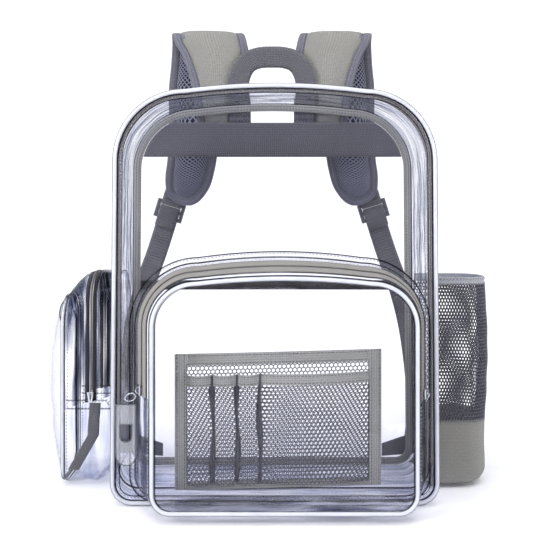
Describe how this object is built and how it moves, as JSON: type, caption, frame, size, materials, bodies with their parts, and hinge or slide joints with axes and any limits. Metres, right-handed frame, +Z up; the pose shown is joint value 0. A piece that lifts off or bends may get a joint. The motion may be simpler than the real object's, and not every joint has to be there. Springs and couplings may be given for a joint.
{
  "type": "clear backpack",
  "caption": "Clear stadium backpack with a zipped front pocket over a mesh organiser, a zipped side pocket, a mesh bottle pocket, padded straps and a grab handle.",
  "frame": {"origin": "middle of the bag's flat underside, half way between its front and back panels", "axes": "+Z up, -Y out of the front panel, +X to the right as the front is seen"},
  "size_m": [0.4833, 0.2527, 0.5175],
  "materials": {
    "clear_film": "clear glossy vinyl film",
    "clear_tab": "clear moulded vinyl",
    "white_piping": "glossy silver-white vinyl piping",
    "grey_tape": "woven zip tape",
    "black_zip": "black nylon zip",
    "slate_binding": "folded binding tape",
    "slate_webbing": "plain woven webbing",
    "black_webbing": "black webbing",
    "grey_cloth": "coarse woven polyester",
    "taupe_cloth": "plain polyester tape and cloth",
    "netting": "open polyester net",
    "air_mesh": "dark spacer mesh over foam",
    "steel": "bright nickel plate",
    "dark_plastic": "satin moulded plastic"
  },
  "bodies": {
    "root": {"front_piping": "white_piping", "front_panel": "clear_film", "back_panel": "clear_film", "zip_flange": "clear_film", "main_zip_tape_front": "grey_tape", "main_zip_coil": "black_zip", "main_zip_tape_rear": "grey_tape", "front_foot_gusset": "clear_film", "side_gusset": "clear_film", "back_binding": "slate_binding", "main_slider": "steel", "back_band": "slate_webbing", "cross_band": "black_webbing", "pocket_piping": "white_piping", "pocket_face": "clear_film", "pocket_flange": "clear_film", "pocket_zip_tape_rear": "grey_tape", "pocket_zip_coil": "black_zip", "pocket_zip_tape_front": "grey_tape", "pocket_lip": "clear_film", "pocket_gusset": "clear_film", "pocket_slider_left": "steel", "pocket_ring_left": "steel", "pocket_tab_left": "clear_tab", "pocket_slider_right": "steel", "pocket_tab_right": "clear_tab", "organiser_back": "taupe_cloth", "organiser_net": "netting", "organiser_net_binding": "taupe_cloth", "organiser_top_binding": "taupe_cloth", "organiser_side_binding_left": "taupe_cloth", "organiser_side_binding_right": "taupe_cloth", "organiser_foot_binding": "taupe_cloth", "side_pocket_piping": "white_piping", "side_pocket_face": "clear_film", "side_pocket_inner_gusset": "clear_film", "side_pocket_tape_inner": "black_zip", "side_pocket_coil": "grey_tape", "side_pocket_tape_outer": "black_zip", "side_pocket_outer_gusset": "clear_film", "side_pocket_foot_gusset": "clear_film", "side_pocket_slider": "steel", "side_pocket_strip": "slate_webbing", "bottle_rim": "grey_cloth", "bottle_net": "netting", "bottle_base": "grey_cloth", "bottle_floor": "grey_cloth", "strap_pad_left": "air_mesh", "strap_binding_left": "slate_binding", "strap_tab_left": "slate_webbing", "ladder_lock_left": "dark_plastic", "adjuster_left": "slate_webbing", "anchor_tab_left": "slate_webbing", "strap_pad_right": "air_mesh", "strap_binding_right": "slate_binding", "strap_tab_right": "slate_webbing", "ladder_lock_right": "dark_plastic", "adjuster_right": "slate_webbing", "anchor_tab_right": "slate_webbing", "handle": "slate_webbing"}
  },
  "joints": []
}
